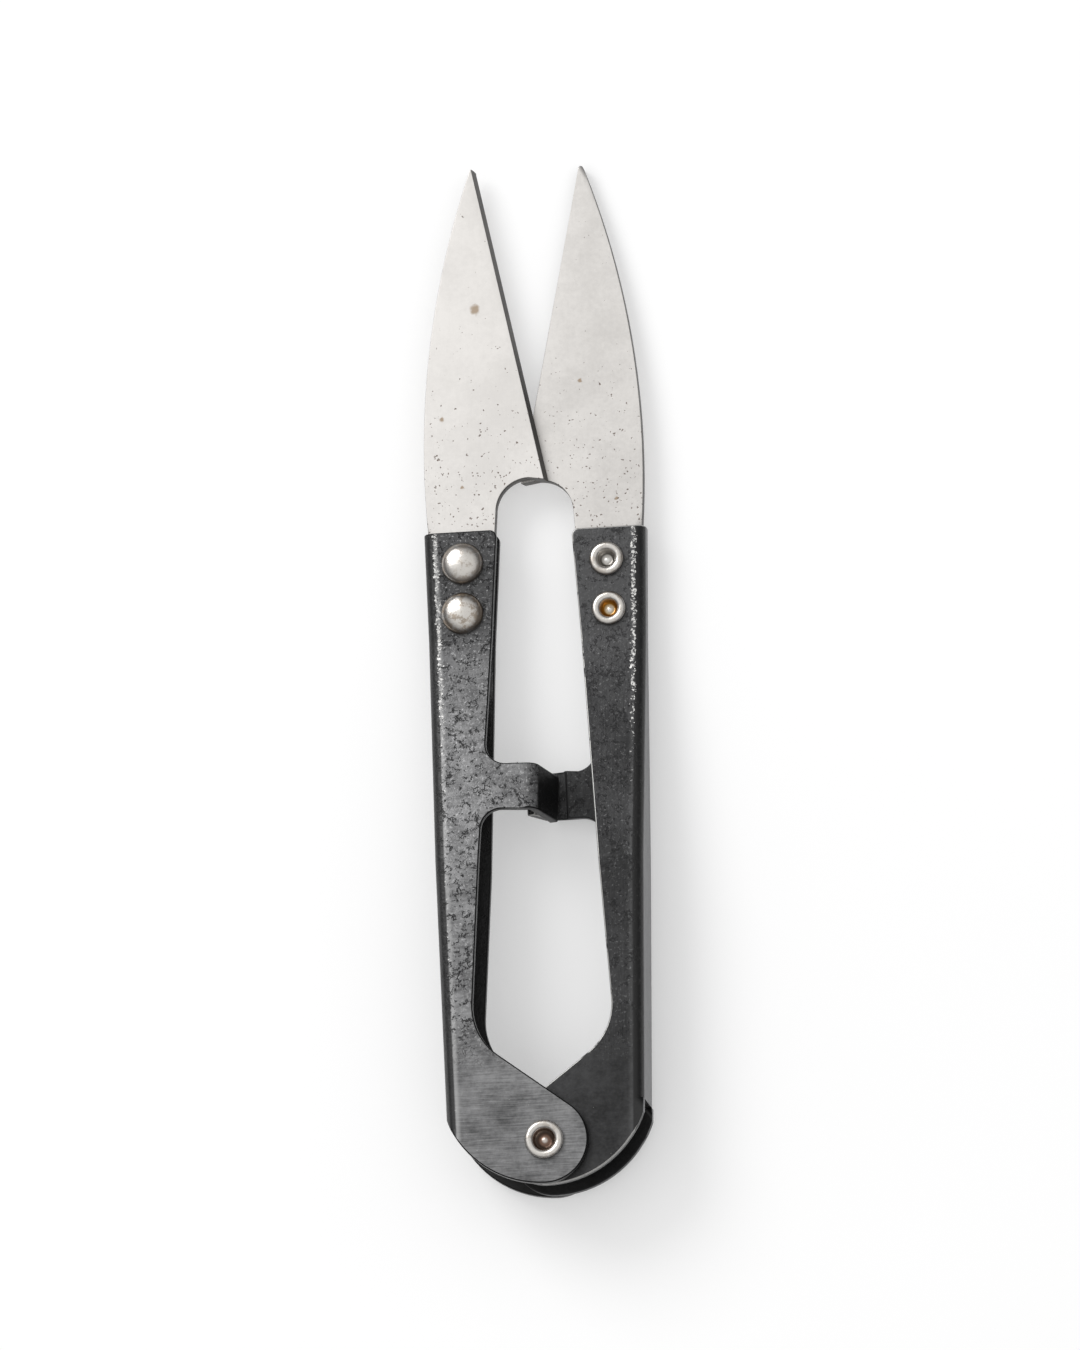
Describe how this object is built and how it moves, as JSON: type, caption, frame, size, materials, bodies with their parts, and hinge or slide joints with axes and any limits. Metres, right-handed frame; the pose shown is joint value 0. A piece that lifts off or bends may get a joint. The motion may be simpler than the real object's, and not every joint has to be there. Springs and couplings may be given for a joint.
{
  "type": "thread snips",
  "caption": "Spring-open thread snips: two folded black steel handles on one rivet, each carrying a riveted ground steel blade; a hooked tab on each handle limits the opening.",
  "frame": {"origin": "on the axis of the pivot rivet, midway between the mating faces of the two blades", "axes": "+Y runs from the pivot to the blade tips, +X to the right-hand blade, +Z out of the side where the pivot rivet's hollow end shows"},
  "size_m": [0.0228, 0.1067, 0.0111],
  "materials": {
    "coated_steel": "semi-gloss black coating on pressed sheet steel, worn and finely scratched",
    "ground_steel": "satin ground and polished blade steel",
    "plated_rivet": "nickel-plated steel rivets, slightly tarnished",
    "spring_wire": "bright drawn spring wire"
  },
  "bodies": {
    "left_arm": {"left_handle": "coated_steel", "left_blade": "ground_steel", "left_front_rivet": "plated_rivet", "left_rear_rivet": "plated_rivet", "pivot_rivet": "plated_rivet", "torsion_spring": "spring_wire"},
    "right_arm": {"right_handle": "coated_steel", "right_blade": "ground_steel", "right_front_rivet": "plated_rivet", "right_rear_rivet": "plated_rivet"}
  },
  "joints": [
    {"name": "squeeze", "type": "hinge", "parent": "left_arm", "child": "right_arm", "pos_m": [0, 0, 0], "axis": [0, 0, 1], "range_deg": [0, 6.5], "stiffness_Nm_per_rad": 0.8, "springref_deg": -11.46, "deforming": ["torsion_spring"]}
  ]
}
